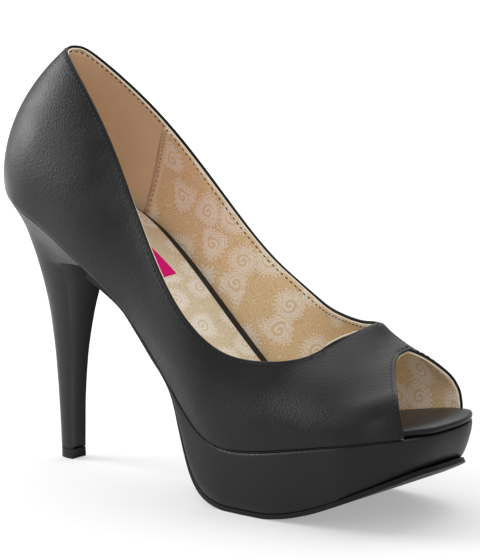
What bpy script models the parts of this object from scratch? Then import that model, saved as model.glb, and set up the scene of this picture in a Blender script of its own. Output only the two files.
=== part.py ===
"""Peep toe platform pump, right shoe. Metres, toe to +X, inner side to +Y, floor at Z = 0."""
import math

import bmesh
import bpy
import numpy as np

# Main sizes
LENGTH = 0.2357
BALL_WIDTH = 0.0777
SEAT_RISE = 0.1216
COLLAR_RISE = 0.1850
HEEL_ROUND = 0.0320
TOE_ROUND = 0.0307
TOE_POWER = 0.75

# Material thicknesses and the clearance left between pieces
GAP = 0.0003
UPPER_WALL = 0.0016
OUTSOLE_THICK = 0.0020
INSOLE_THICK = 0.0030
SOCK_THICK = 0.0008
LIFT_HEIGHT = 0.0042
BELLY = 0.0035
UNDERCUT = 0.0030
SOLE_INSET = 0.0028
INSOLE_CLEAR = 0.0008
INSOLE_OPENING = 0.030
SOCK_MARGIN = 0.0028
SOCK_END = 0.735
MERGE = 1e-5

HALF_BALL = BALL_WIDTH / 2
TOE_START = LENGTH - TOE_ROUND

# Last along its feather line. Columns: station and x as shares of LENGTH, feather height as a share
# of SEAT_RISE, outer and inner half widths as shares of half the ball width
LAST = np.array([
    (0.000, 1.000, 0.726, 0.780),
    (0.127, 0.921, 0.728, 0.775),
    (0.255, 0.787, 0.790, 0.746),
    (0.382, 0.603, 0.775, 0.655),
    (0.488, 0.388, 0.857, 0.708),
    (0.528, 0.313, 0.912, 0.750),
    (0.569, 0.256, 0.965, 0.802),
    (0.611, 0.228, 1.000, 0.850),
    (0.658, 0.224, 1.022, 0.896),
    (0.742, 0.245, 1.035, 0.950),
    (0.849, 0.282, 1.000, 0.932),
    (0.920, 0.306, 0.965, 0.890),
    (0.965, 0.317, 0.935, 0.858),
    (1.000, 0.319, 0.915, 0.838),
])

# Upper's top line, then the ridge of the vamp. Columns: station, x as shares of LENGTH, height as a
# share of COLLAR_RISE, outer and inner y as shares of half the ball width, extra inner height as a
# share of COLLAR_RISE, roundness of the wall, belly as a share of BELLY, how low the belly sits and
# how full the wall is
TOP_LINE = np.array([
    (0.000, 0.140, 1.000, 0.000, 0.000, 0.000, 0.66, 0.42, 0.55, 2.20),
    (0.047, 0.150, 0.994, -0.145, 0.140, 0.000, 0.66, 0.45, 0.55, 2.20),
    (0.089, 0.174, 0.972, -0.240, 0.215, 0.000, 0.70, 0.55, 0.60, 2.20),
    (0.136, 0.214, 0.930, -0.335, 0.300, 0.000, 0.76, 0.75, 0.75, 2.20),
    (0.255, 0.312, 0.803, -0.535, 0.515, 0.000, 0.80, 1.00, 0.95, 2.20),
    (0.382, 0.412, 0.635, -0.772, 0.708, 0.005, 0.65, 0.90, 1.00, 2.20),
    (0.488, 0.507, 0.471, -0.921, 0.829, 0.034, 0.60, 0.70, 1.00, 2.20),
    (0.573, 0.586, 0.381, -0.911, 0.909, 0.048, 0.62, 0.70, 1.00, 2.20),
    (0.658, 0.679, 0.346, -0.741, 0.672, 0.060, 0.75, 0.72, 1.00, 2.12),
    (0.692, 0.732, 0.350, -0.592, 0.550, 0.053, 0.81, 0.70, 1.00, 2.04),
    (0.721, 0.762, 0.364, -0.400, 0.496, 0.041, 0.86, 0.67, 1.00, 1.96),
    (0.747, 0.783, 0.387, -0.160, 0.438, 0.022, 0.905, 0.63, 1.00, 1.92),
    (0.760, 0.794, 0.402, 0.085, 0.388, 0.009, 0.93, 0.61, 1.00, 1.91),
    (0.772, 0.802, 0.414, 0.335, 0.335, 0.000, 0.95, 0.58, 1.00, 1.92),
    (0.810, 0.824, 0.390, 0.335, 0.335, 0.000, 0.98, 0.49, 1.00, 2.02),
    (0.849, 0.849, 0.371, 0.335, 0.335, 0.000, 0.99, 0.40, 1.00, 2.10),
])
OPENING_TURN = 0.640
THROAT = 0.772
VAMP_END = 0.849

# Edge of the peep hole on each side: station of its foot on the sole, then rows up to the ridge.
# Columns: part of the way, x as a share of LENGTH, y as a share of half the ball width, height as a
# share of COLLAR_RISE
PEEP_FOOT = {-1: 0.9525, 1: 0.9060}
PEEP_EDGE = {
    -1: np.array([
        (0.000, 0.9792, -0.595, 0.2054),
        (0.154, 0.9711, -0.589, 0.2535),
        (0.319, 0.9512, -0.486, 0.2941),
        (0.467, 0.9287, -0.332, 0.3124),
        (0.585, 0.9109, -0.206, 0.3265),
        (0.736, 0.8897, -0.036, 0.3443),
        (0.828, 0.8791, 0.082, 0.3524),
        (0.915, 0.8731, 0.206, 0.3578),
        (1.000, 0.8731, 0.335, 0.3611),
    ]),
    1: np.array([
        (0.000, 0.9249, 0.806, 0.2054),
        (0.094, 0.9241, 0.819, 0.2254),
        (0.208, 0.9219, 0.821, 0.2497),
        (0.326, 0.9177, 0.790, 0.2735),
        (0.451, 0.9143, 0.718, 0.2951),
        (0.576, 0.9079, 0.633, 0.3135),
        (0.705, 0.8978, 0.551, 0.3308),
        (0.843, 0.8859, 0.458, 0.3470),
        (1.000, 0.8731, 0.335, 0.3611),
    ]),
}

# Underside of the outsole. Columns: x as a share of LENGTH, height as a share of SEAT_RISE
UNDERSIDE = np.array([
    (0.266, 0.731),
    (0.305, 0.690),
    (0.349, 0.632),
    (0.385, 0.554),
    (0.420, 0.477),
    (0.448, 0.423),
    (0.464, 0.386),
    (0.474, 0.353),
    (0.482, 0.313),
    (0.490, 0.262),
    (0.499, 0.207),
    (0.509, 0.152),
    (0.520, 0.104),
    (0.535, 0.062),
    (0.555, 0.030),
    (0.582, 0.010),
    (0.618, 0.000),
    (0.700, 0.000),
    (0.745, 0.010),
    (0.800, 0.036),
    (0.850, 0.070),
    (0.900, 0.112),
    (0.950, 0.156),
    (0.985, 0.190),
])
PLATFORM_START = 0.468
PLATFORM_FLAT = 0.630

# Heel sections from the tip up. Columns: part of the way from the lift to the seat, x of the breast
# edge and depth from breast to rear as shares of LENGTH, half width as a share of half the ball width
HEEL = np.array([
    (0.000, 0.119, 0.0400, 0.112),
    (0.076, 0.120, 0.0410, 0.120),
    (0.175, 0.122, 0.0440, 0.126),
    (0.346, 0.129, 0.0545, 0.148),
    (0.517, 0.140, 0.0725, 0.210),
    (0.645, 0.150, 0.0925, 0.300),
    (0.735, 0.155, 0.1060, 0.395),
])
LIP_REACH = 0.262
BREAST_HOLLOW = 0.22
SEAT_TUCK = 0.0006

COLUMNS_REAR = 8
COLUMNS_FLANK = 21
COLUMNS_THROAT = 10
COLUMNS_VAMP = 4
COLUMNS_TOE = 6
ROWS = 14
EASING = (0.5, -0.53) * 4
VAMP_SPAN = (0.54, 0.62, 0.84, 0.94)
VAMP_PASSES = 14
VAMP_HELD = 0.5


def curve(table, column, at):
    """Smooth curve with no overshoot through one column of a table, by its first column."""
    x = table[:, 0]
    y = table[:, column]
    rise = np.diff(y) / np.diff(x)
    product = rise[1:] * rise[:-1]
    level = np.where(product > 0, 2 * product / (rise[1:] + rise[:-1] + 1e-12), 0.0)
    slope = np.concatenate((rise[:1], level, rise[-1:]))
    at = np.clip(at, x[0], x[-1])
    i = np.clip(np.searchsorted(x, at) - 1, 0, len(x) - 2)
    step = x[i + 1] - x[i]
    t = (at - x[i]) / step
    start = (1 + 2 * t) * (1 - t) ** 2 * y[i] + t * (1 - t) ** 2 * step * slope[i]
    return start + t * t * (3 - 2 * t) * y[i + 1] + t * t * (t - 1) * step * slope[i + 1]


def spline(table, column, at):
    """Curve of even bend through one column of a table, by its first column."""
    x = table[:, 0]
    y = table[:, column]
    step = np.diff(x)
    rise = np.diff(y) / step
    system = np.eye(len(x))
    bend = np.zeros(len(x))
    for k in range(1, len(x) - 1):
        system[k, k - 1:k + 2] = step[k - 1], 2 * (step[k - 1] + step[k]), step[k]
        bend[k] = 6 * (rise[k] - rise[k - 1])
    bend = np.linalg.solve(system, bend)
    at = np.clip(at, x[0], x[-1])
    i = np.clip(np.searchsorted(x, at) - 1, 0, len(x) - 2)
    t = at - x[i]
    start = rise[i] - step[i] * (2 * bend[i] + bend[i + 1]) / 6
    return y[i] + t * (start + t * (bend[i] / 2 + t * (bend[i + 1] - bend[i]) / (6 * step[i])))


def feather_height(x):
    """Height of the feather line, where the upper meets the sole."""
    return SEAT_RISE * float(spline(LAST, 1, x / LENGTH))


def outline(station, side, inset=0.0):
    """Point of the sole outline and its outward direction, seen from above."""
    place = station * LENGTH
    width = HALF_BALL * float(spline(LAST, 2 if side < 0 else 3, station))
    if place < HEEL_ROUND:
        turn = place / HEEL_ROUND * math.pi / 2
        x = HEEL_ROUND - (HEEL_ROUND - inset) * math.cos(turn)
        return x, side * (width - inset) * math.sin(turn), -math.cos(turn), side * math.sin(turn)
    if place <= TOE_START:
        return place, side * (width - inset), 0.0, float(side)
    turn = min((place - TOE_START) / TOE_ROUND, 1.0) * math.pi / 2
    x = TOE_START + (TOE_ROUND - inset) * math.sin(turn)
    closing = max(math.cos(turn), 0.0) ** TOE_POWER
    return x, side * (width - inset) * closing, math.sin(turn), side * math.cos(turn)


def wall_share(v, roundness, power):
    """Sideways share of a wall at height share v, for a part of a rounded arch."""
    full = 1 - (1 - roundness ** power) ** (1 / power)
    return (1 - max(0.0, 1 - (v * roundness) ** power) ** (1 / power)) / full


def column(foot, top, roundness, power, belly, low, outward):
    """Points of one wall column, from its foot on the sole to its top."""
    points = []
    for v in np.linspace(0, 1, ROWS):
        share = wall_share(v, roundness, power)
        p = foot + (top - foot) * np.array((share, share, v))
        p[:2] += np.array(outward) * belly * math.sin(math.pi * v ** low)
        points.append(p)
    return np.array(points)


def wall_column(station, side):
    """Points of the last's surface from the feather line to the top line at one station."""
    x, y, nx, ny = outline(station, side)
    foot = np.array((x, y, feather_height(x) + GAP))
    row = [float(spline(TOP_LINE, k, station)) for k in range(1, 10)]
    reach = row[2] if side < 0 else row[3]
    rise = row[1] + (row[4] if side > 0 else 0.0)
    if station >= THROAT:
        reach = (row[2] + row[3]) / 2
        rise = row[1]
    top = np.array((row[0] * LENGTH, reach * HALF_BALL, rise * COLLAR_RISE))
    return column(foot, top, row[5], row[8], row[6] * BELLY, row[7], (nx, ny))


def peep_column(side):
    """Points along the edge of the peep hole."""
    edge = PEEP_EDGE[side]
    x, y, _, _ = outline(PEEP_FOOT[side], side)
    foot = np.array((x, y, feather_height(x) + GAP))
    way = np.linspace(0, 1, ROWS)
    points = np.stack([curve(edge, k, way) * size for k, size in ((1, LENGTH), (2, HALF_BALL), (3, COLLAR_RISE))], axis=1)
    return points + (foot - points[0]) * (1 - way[:, None]) ** 2


def toe_columns(side):
    """Columns that run from the vamp to the edge of the peep hole."""
    first = wall_column(VAMP_END, side)
    last = peep_column(side)
    fade = 1 - np.linspace(0, 1, ROWS)[:, None]
    made = []
    for k in range(1, COLUMNS_TOE + 1):
        s = k / COLUMNS_TOE
        blend = first * (1 - s) + last * s
        x, y, _, _ = outline(VAMP_END + (PEEP_FOOT[side] - VAMP_END) * s, side)
        foot = np.array((x, y, feather_height(x) + GAP))
        made.append(blend + (foot - blend[0]) * fade)
    return made


def upper_side(side):
    rear = np.linspace(0, HEEL_ROUND / LENGTH, COLUMNS_REAR + 1)
    flank = np.linspace(HEEL_ROUND / LENGTH, OPENING_TURN, COLUMNS_FLANK + 1)[1:]
    turn = np.linspace(OPENING_TURN, THROAT, COLUMNS_THROAT + 1)[1:]
    vamp = np.linspace(THROAT, VAMP_END, COLUMNS_VAMP + 1)[1:]
    stations = np.concatenate((rear, flank, turn, vamp))
    columns = np.array([wall_column(q, side) for q in stations] + toe_columns(side))
    toe = np.linspace(VAMP_END, PEEP_FOOT[side], COLUMNS_TOE + 1)[1:]
    gaps = np.diff(np.concatenate((stations, toe)))[:, None, None]
    part = gaps[:-1] / (gaps[:-1] + gaps[1:])
    for strength in EASING:
        between = columns[:-2, 1:-1] * (1 - part) + columns[2:, 1:-1] * part
        columns[1:-1, 1:-1] += strength * (between - columns[1:-1, 1:-1])
    spread = np.interp(np.concatenate((stations, toe))[1:-1], VAMP_SPAN, (0, 1, 1, 0))
    height = np.linspace(0, 1, ROWS)[1:-1, None]
    spread = spread[:, None, None] * np.minimum(height / VAMP_HELD, 1) ** 2 * (1 - height ** 4)
    for _ in range(VAMP_PASSES):
        between = columns[:-2, 1:-1] * (1 - part) + columns[2:, 1:-1] * part
        columns[1:-1, 1:-1] += 0.5 * spread * (between - columns[1:-1, 1:-1])
    return list(columns)


def add_object(name, points, faces, material):
    mesh = bpy.data.meshes.new(name)
    mesh.from_pydata([tuple(p) for p in points], [], faces)
    mesh.update()
    mesh.materials.append(material)
    piece = bpy.data.objects.new(name, mesh)
    PARTS.objects.link(piece)
    mesh.shade_smooth()
    mesh.set_sharp_from_angle(angle=math.radians(40))
    return piece


def skin(name, rings, material, extra=0):
    """Close a row of rings into one solid. The ends are closed by pairing each ring's two sides."""
    count = len(rings[0])
    sides = count - extra
    points = [p for ring in rings for p in ring]
    faces = []
    for a in range(0, (len(rings) - 1) * count, count):
        for i in range(count):
            j = (i + 1) % count
            faces.append((a + i, a + j, a + count + j, a + count + i))
    for base in (0, (len(rings) - 1) * count):
        faces.append([base + k for k in (*range(sides - 2, count), 0, 1)])
        for i in range(1, (sides - 1) // 2):
            far = sides - 1 - i
            pair = (i, i + 1, far - 1, far) if i + 1 < far - 1 else (i, i + 1, far)
            faces.append([base + k for k in pair])
    return add_object(name, points, faces, material)


def flat_ring(stations, inset, height):
    """Closed outline, outer side from heel to toe and inner side back."""
    ring = []
    for side, order in ((-1, stations), (1, stations[::-1])):
        for q in order:
            x, y, _, _ = outline(q, side, inset(q, side))
            ring.append((x, y, height(x)))
    return ring


def half_width(x, side, inset):
    """Sideways reach of the outline at a given x."""
    width = side * (HALF_BALL * float(spline(LAST, 2 if side < 0 else 3, x / LENGTH)) - inset)
    if x <= TOE_START:
        return width
    return width * max(1 - ((x - TOE_START) / (TOE_ROUND - inset)) ** 2, 0.0) ** (TOE_POWER / 2)


def finish(name, base_color, roughness):
    made = bpy.data.materials.new(name)
    made.use_nodes = True
    shader = made.node_tree.nodes["Principled BSDF"]
    shader.inputs["Base Color"].default_value = (*base_color, 1.0)
    shader.inputs["Roughness"].default_value = roughness
    return made


for old in list(bpy.data.objects):
    bpy.data.objects.remove(old, do_unlink=True)
PARTS = bpy.data.collections.new("peep_toe_pump")
bpy.context.scene.collection.children.link(PARTS)

UPPER_LEATHER = finish("upper_faux_leather", (0.045, 0.046, 0.048), 0.45)
HEEL_COVER = finish("heel_cover_faux_leather", (0.050, 0.051, 0.054), 0.42)
PLATFORM_COVER = finish("platform_cover_faux_leather", (0.048, 0.049, 0.051), 0.45)
INSOLE_COVER = finish("insole_cover_black", (0.030, 0.030, 0.031), 0.50)
SOCK_CLOTH = finish("sock_lining_cream", (0.76, 0.64, 0.45), 0.60)
SOLE_RUBBER = finish("outsole_rubber_black", (0.020, 0.020, 0.021), 0.55)
LIFT_RUBBER = finish("lift_rubber_black", (0.018, 0.018, 0.018), 0.60)

# Upper: one sheet from the peep hole round the heel and back, thickened inward
outer = upper_side(-1)
inner = upper_side(1)
columns = outer[::-1] + inner[1:]
points = [p for c in columns for p in c]
faces = []
for c in range(len(columns) - 1):
    for r in range(ROWS - 1):
        a = c * ROWS + r
        faces.append((a, a + 1, a + ROWS + 1, a + ROWS))
upper = add_object("upper", points, faces, UPPER_LEATHER)
work = bmesh.new()
work.from_mesh(upper.data)
bmesh.ops.remove_doubles(work, verts=work.verts, dist=MERGE)
work.to_mesh(upper.data)
work.free()
wall = upper.modifiers.new("wall", "SOLIDIFY")
wall.thickness = UPPER_WALL
wall.offset = -1.0

# Stations of the flat pieces, closer together round the heel and the toe
rear = np.linspace(0.1, 1.0, 8) * HEEL_ROUND / LENGTH
toe = 1 - TOE_ROUND / LENGTH * (1 - np.linspace(0.12, 0.985, 11))
middle = np.linspace(HEEL_ROUND, TOE_START, 22)[1:] / LENGTH
WHOLE_FOOT = np.concatenate((rear, middle, toe))

# Insole: stays inside the wall, then comes out to the edge of the sole in the peep hole
def insole_inset(extra):
    def inset(q, side):
        end = PEEP_FOOT[side]
        free = min(max((q - end - 0.004) / INSOLE_OPENING, 0.0), 1.0)
        return (UPPER_WALL + INSOLE_CLEAR) * (1 - free * free * (3 - 2 * free)) + extra
    return inset


def above(level):
    return lambda x: feather_height(x) + level


bottom = GAP
top = bottom + INSOLE_THICK
insole_rings = [flat_ring(WHOLE_FOOT, insole_inset(extra), above(level)) for extra, level in (
    (0.0010, bottom),
    (0.0002, bottom + 0.2 * INSOLE_THICK),
    (0.0000, bottom + 0.5 * INSOLE_THICK),
    (0.0004, bottom + 0.8 * INSOLE_THICK),
    (0.0014, top),
)]
skin("insole", insole_rings, INSOLE_COVER)

# Sock lining: a narrower sheet on the insole that ends under the vamp
def sock_inset(q, side):
    margin = SOCK_MARGIN * min(0.3 + q / SOCK_END, 1.0)
    return UPPER_WALL + INSOLE_CLEAR + margin


sock_foot = np.concatenate((rear, np.linspace(HEEL_ROUND / LENGTH, SOCK_END, 18)[1:]))
sock_rings = [flat_ring(sock_foot, sock_inset, above(top + level)) for level in (GAP, GAP + SOCK_THICK)]
skin("sock_lining", sock_rings, SOCK_CLOTH)

# Outsole: follows the shank, drops down the back of the platform and runs under it to the toe
sole_x = np.concatenate((UNDERSIDE[:-4, 0] * LENGTH, TOE_START + (TOE_ROUND - SOLE_INSET) * np.sin(
    np.radians((2, 14, 26, 38, 50, 61, 71, 79, 85)))))
sole_z = curve(UNDERSIDE, 1, sole_x / LENGTH) * SEAT_RISE
slope_x = np.gradient(sole_x)
slope_z = np.gradient(sole_z)
run = np.hypot(slope_x, slope_z)
up_x = -slope_z / run
up_z = slope_x / run
platform_under = []
sole_rings = []
for x, z, nx, nz in zip(sole_x, sole_z, up_x, up_z):
    thick = OUTSOLE_THICK
    if x < PLATFORM_START * LENGTH:
        for _ in range(4):
            thick += (feather_height(x + thick * nx) - GAP - z - thick * nz) * nz
    else:
        platform_under.append((x + (thick + GAP) * nx, z + (thick + GAP) * nz))
    low = [(x, y, z) for y in np.linspace(half_width(x, -1, SOLE_INSET), half_width(x, 1, SOLE_INSET), 5)]
    high = [(x + thick * nx, y, z + thick * nz) for _, y, _ in low[::-1]]
    sole_rings.append(low + high)
skin("outsole", sole_rings, SOLE_RUBBER)
platform_under = np.array(platform_under)

# Platform: between the feather line and the outsole, undercut at the front
PROFILE = ((0.00, 0.0010), (0.05, 0.0002), (0.20, 0.0000), (0.50, 0.0004), (0.80, 0.0012),
           (0.95, 0.0022), (1.00, 0.0030))


def platform_floor(x):
    return float(np.interp(x, platform_under[:, 0], platform_under[:, 1]))


def platform_ring(share, inset):
    def edge(q, side):
        toe_turn = max(q * LENGTH - TOE_START, 0.0) / TOE_ROUND
        return inset + UNDERCUT * share ** 1.5 * math.sin(min(toe_turn, 1.0) * math.pi / 2)

    def height(x):
        crown = feather_height(x)
        return crown + share * (platform_floor(x) - crown)
    return flat_ring(platform_foot, edge, height)


behind = platform_under[:, 0] / LENGTH
behind = behind[behind < PLATFORM_FLAT]
platform_foot = np.concatenate((behind, np.linspace(PLATFORM_FLAT, TOE_START / LENGTH, 12), toe))
skin("platform", [platform_ring(*row) for row in PROFILE], PLATFORM_COVER)

# Heel: sections from the tip up, flared into the seat with a lip that runs on under the shank
HALF_TURN = np.linspace(-1, 1, 21)
FRONT = np.linspace(1, -1, 5)[1:-1]


def heel_ring(height, breast, depth, width, z):
    b = width * HALF_BALL
    ring = []
    for t in HALF_TURN * math.pi / 2:
        y = math.copysign(abs(math.sin(t)) ** 0.9, t) * b
        ring.append((breast * LENGTH - depth * LENGTH * math.cos(t), y, z))
    hollow = BREAST_HOLLOW * b
    return ring + [(breast * LENGTH - hollow * (1 - f * f), f * b, z) for f in FRONT]


def seat_ring():
    ring = []
    for t in HALF_TURN:
        x, y, _, _ = outline(LIP_REACH * abs(t) ** 1.3, -1 if t < 0 else 1, SEAT_TUCK)
        ring.append((x, y, feather_height(x) - GAP))
    x = ring[0][0]
    return ring + [(x, (1 + f) / 2 * ring[-1][1] + (1 - f) / 2 * ring[0][1], ring[0][2]) for f in FRONT]


lift_top = LIFT_HEIGHT + GAP
heel_rings = [heel_ring(*row, lift_top + row[0] * (SEAT_RISE - lift_top)) for row in HEEL]
shoulder = np.array(heel_rings[-1])
seat = np.array(seat_ring())
for across, upward in ((0.20, 0.28), (0.42, 0.55), (0.72, 0.80), (1.0, 1.0)):
    part = np.array((across, across, upward))
    heel_rings.append([tuple(p) for p in shoulder + (seat - shoulder) * part])
skin("heel", heel_rings, HEEL_COVER, extra=len(FRONT))

# Lift under the heel
lift_rings = [heel_ring(*HEEL[0], z) for z in (0.0, LIFT_HEIGHT)]
skin("heel_lift", lift_rings, LIFT_RUBBER, extra=len(FRONT))

# Faces turned outward, then the origin moved to the middle of the box on the floor
bpy.context.view_layer.update()
corners = []
for piece in PARTS.objects:
    work = bmesh.new()
    work.from_mesh(piece.data)
    if piece is not upper:
        bmesh.ops.recalc_face_normals(work, faces=work.faces)
    work.to_mesh(piece.data)
    work.free()
    corners += [tuple(v.co) for v in piece.data.vertices]
corners = np.array(corners)
middle = (corners.min(axis=0) + corners.max(axis=0)) / 2
for piece in PARTS.objects:
    for vertex in piece.data.vertices:
        vertex.co.x -= middle[0]
        vertex.co.y -= middle[1]
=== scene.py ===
import math

import bmesh
import bpy
import numpy as np
from mathutils import Matrix, Vector


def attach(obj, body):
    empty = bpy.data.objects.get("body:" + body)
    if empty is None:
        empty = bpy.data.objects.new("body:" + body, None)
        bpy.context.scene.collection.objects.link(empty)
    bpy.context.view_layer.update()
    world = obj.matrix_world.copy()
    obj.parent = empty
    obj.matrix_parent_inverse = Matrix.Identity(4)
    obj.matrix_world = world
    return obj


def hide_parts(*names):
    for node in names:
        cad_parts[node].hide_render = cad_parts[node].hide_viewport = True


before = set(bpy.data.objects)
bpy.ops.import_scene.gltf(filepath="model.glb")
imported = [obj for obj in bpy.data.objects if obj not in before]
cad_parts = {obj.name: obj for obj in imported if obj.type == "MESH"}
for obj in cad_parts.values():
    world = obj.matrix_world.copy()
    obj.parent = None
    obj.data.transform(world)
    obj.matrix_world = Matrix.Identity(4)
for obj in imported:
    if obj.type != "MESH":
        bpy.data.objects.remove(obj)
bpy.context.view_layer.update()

# The last: the shoe is built round it, so its sizes come first. All sizes are in metres, and the
# shoe's own frame starts at the back of the heel seat, so every piece is moved by ORIGIN.
LENGTH = 0.2357
BALL_WIDTH = 0.0777
SEAT_RISE = 0.1216
COLLAR_RISE = 0.1850
HEEL_ROUND = 0.0320
TOE_ROUND = 0.0307
TOE_POWER = 0.75
GAP = 0.0003
HALF_BALL = BALL_WIDTH / 2
TOE_START = LENGTH - TOE_ROUND
ORIGIN = np.array((0.117387, -0.001708, 0.0))
# Last along its feather line. Columns: station and x as shares of LENGTH, feather height as a share
# of SEAT_RISE, outer and inner half widths as shares of half the ball width
LAST = np.array([
    (0.000, 1.000, 0.726, 0.780),
    (0.127, 0.921, 0.728, 0.775),
    (0.255, 0.787, 0.790, 0.746),
    (0.382, 0.603, 0.775, 0.655),
    (0.488, 0.388, 0.857, 0.708),
    (0.528, 0.313, 0.912, 0.750),
    (0.569, 0.256, 0.965, 0.802),
    (0.611, 0.228, 1.000, 0.850),
    (0.658, 0.224, 1.022, 0.896),
    (0.742, 0.245, 1.035, 0.950),
    (0.849, 0.282, 1.000, 0.932),
    (0.920, 0.306, 0.965, 0.890),
    (0.965, 0.317, 0.935, 0.858),
    (1.000, 0.319, 0.915, 0.838),
])


def curve(table, column, at):
    """Smooth curve with no overshoot through one column of a table, by its first column."""
    x = table[:, 0]
    y = table[:, column]
    rise = np.diff(y) / np.diff(x)
    product = rise[1:] * rise[:-1]
    level = np.where(product > 0, 2 * product / (rise[1:] + rise[:-1] + 1e-12), 0.0)
    slope = np.concatenate((rise[:1], level, rise[-1:]))
    at = np.clip(at, x[0], x[-1])
    i = np.clip(np.searchsorted(x, at) - 1, 0, len(x) - 2)
    step = x[i + 1] - x[i]
    t = (at - x[i]) / step
    start = (1 + 2 * t) * (1 - t) ** 2 * y[i] + t * (1 - t) ** 2 * step * slope[i]
    return start + t * t * (3 - 2 * t) * y[i + 1] + t * t * (t - 1) * step * slope[i + 1]


def spline(table, column, at):
    """Curve of even bend through one column of a table, by its first column."""
    x = table[:, 0]
    y = table[:, column]
    step = np.diff(x)
    rise = np.diff(y) / step
    system = np.eye(len(x))
    bend = np.zeros(len(x))
    for k in range(1, len(x) - 1):
        system[k, k - 1:k + 2] = step[k - 1], 2 * (step[k - 1] + step[k]), step[k]
        bend[k] = 6 * (rise[k] - rise[k - 1])
    bend = np.linalg.solve(system, bend)
    at = np.clip(at, x[0], x[-1])
    i = np.clip(np.searchsorted(x, at) - 1, 0, len(x) - 2)
    t = at - x[i]
    start = rise[i] - step[i] * (2 * bend[i] + bend[i + 1]) / 6
    return y[i] + t * (start + t * (bend[i] / 2 + t * (bend[i + 1] - bend[i]) / (6 * step[i])))


def feather_height(x):
    """Height of the feather line, where the upper meets the sole."""
    return SEAT_RISE * float(spline(LAST, 1, x / LENGTH))


def outline(station, side, inset=0.0):
    """Point of the sole outline and its outward direction, seen from above."""
    place = station * LENGTH
    width = HALF_BALL * float(spline(LAST, 2 if side < 0 else 3, station))
    if place < HEEL_ROUND:
        turn = place / HEEL_ROUND * math.pi / 2
        x = HEEL_ROUND - (HEEL_ROUND - inset) * math.cos(turn)
        return x, side * (width - inset) * math.sin(turn), -math.cos(turn), side * math.sin(turn)
    if place <= TOE_START:
        return place, side * (width - inset), 0.0, float(side)
    turn = min((place - TOE_START) / TOE_ROUND, 1.0) * math.pi / 2
    x = TOE_START + (TOE_ROUND - inset) * math.sin(turn)
    closing = max(math.cos(turn), 0.0) ** TOE_POWER
    return x, side * (width - inset) * closing, math.sin(turn), side * math.cos(turn)


# Upper: one shell of smooth black faux leather, cut and folded at the top line and round the peep
# hole, and lasted down to the sole. Satin finish with a fine embossed grain.
SHELL_WALL = 0.0011
BELLY = 0.0035
THROAT = 0.772
VAMP_END = 0.849
# Top line of the upper, then the ridge of the vamp. Columns: station, x as shares of LENGTH, height
# as a share of COLLAR_RISE, outer and inner y as shares of half the ball width, extra inner height
# as a share of COLLAR_RISE, roundness of the wall, belly as a share of BELLY, how low the belly
# sits and how full the wall is
TOP_LINE = np.array([
    (0.000, 0.140, 1.000, 0.000, 0.000, 0.000, 0.66, 0.42, 0.55, 2.20),
    (0.047, 0.150, 0.994, -0.145, 0.140, 0.000, 0.66, 0.45, 0.55, 2.20),
    (0.089, 0.174, 0.972, -0.240, 0.215, 0.000, 0.70, 0.55, 0.60, 2.20),
    (0.136, 0.214, 0.930, -0.335, 0.300, 0.000, 0.76, 0.75, 0.75, 2.20),
    (0.255, 0.312, 0.803, -0.535, 0.515, 0.000, 0.80, 1.00, 0.95, 2.20),
    (0.382, 0.412, 0.635, -0.772, 0.708, 0.005, 0.65, 0.90, 1.00, 2.20),
    (0.488, 0.507, 0.471, -0.921, 0.829, 0.034, 0.60, 0.70, 1.00, 2.20),
    (0.573, 0.586, 0.381, -0.911, 0.909, 0.048, 0.62, 0.70, 1.00, 2.20),
    (0.658, 0.679, 0.346, -0.741, 0.672, 0.060, 0.75, 0.72, 1.00, 2.12),
    (0.692, 0.732, 0.350, -0.592, 0.550, 0.053, 0.81, 0.70, 1.00, 2.04),
    (0.721, 0.762, 0.364, -0.400, 0.496, 0.041, 0.86, 0.67, 1.00, 1.96),
    (0.747, 0.783, 0.387, -0.160, 0.438, 0.022, 0.905, 0.63, 1.00, 1.92),
    (0.760, 0.794, 0.402, 0.085, 0.388, 0.009, 0.93, 0.61, 1.00, 1.91),
    (0.772, 0.802, 0.414, 0.335, 0.335, 0.000, 0.95, 0.58, 1.00, 1.92),
    (0.810, 0.824, 0.390, 0.335, 0.335, 0.000, 0.98, 0.49, 1.00, 2.02),
    (0.849, 0.849, 0.371, 0.335, 0.335, 0.000, 0.99, 0.40, 1.00, 2.10),
])
# Edge of the peep hole on each side: station of its foot on the sole, then rows up to the ridge.
# Columns: part of the way, x as a share of LENGTH, y as a share of half the ball width, height as a
# share of COLLAR_RISE
PEEP_FOOT = {-1: 0.9525, 1: 0.9060}
PEEP_EDGE = {
    -1: np.array([
        (0.000, 0.9792, -0.595, 0.2054),
        (0.154, 0.9711, -0.589, 0.2535),
        (0.319, 0.9512, -0.486, 0.2941),
        (0.467, 0.9287, -0.332, 0.3124),
        (0.585, 0.9109, -0.206, 0.3265),
        (0.736, 0.8897, -0.036, 0.3443),
        (0.828, 0.8791, 0.082, 0.3524),
        (0.915, 0.8731, 0.206, 0.3578),
        (1.000, 0.8731, 0.335, 0.3611),
    ]),
    1: np.array([
        (0.000, 0.9249, 0.806, 0.2054),
        (0.094, 0.9241, 0.819, 0.2254),
        (0.208, 0.9219, 0.821, 0.2497),
        (0.326, 0.9177, 0.790, 0.2735),
        (0.451, 0.9143, 0.718, 0.2951),
        (0.576, 0.9079, 0.633, 0.3135),
        (0.705, 0.8978, 0.551, 0.3308),
        (0.843, 0.8859, 0.458, 0.3470),
        (1.000, 0.8731, 0.335, 0.3611),
    ]),
}

# Columns of the wall stand closer together at the heel, beside the opening's front and at the toe
MIDFOOT = 0.55
SIDE_STATIONS = np.concatenate((
    np.linspace(0, HEEL_ROUND / LENGTH, 17),
    np.linspace(HEEL_ROUND / LENGTH, MIDFOOT, 31)[1:],
    np.linspace(MIDFOOT, THROAT, 33)[1:],
    np.linspace(THROAT, VAMP_END, 11)[1:],
))
TOE_STEPS = 14
ROWS = 34
HEIGHTS = np.linspace(0, 1, ROWS)
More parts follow.
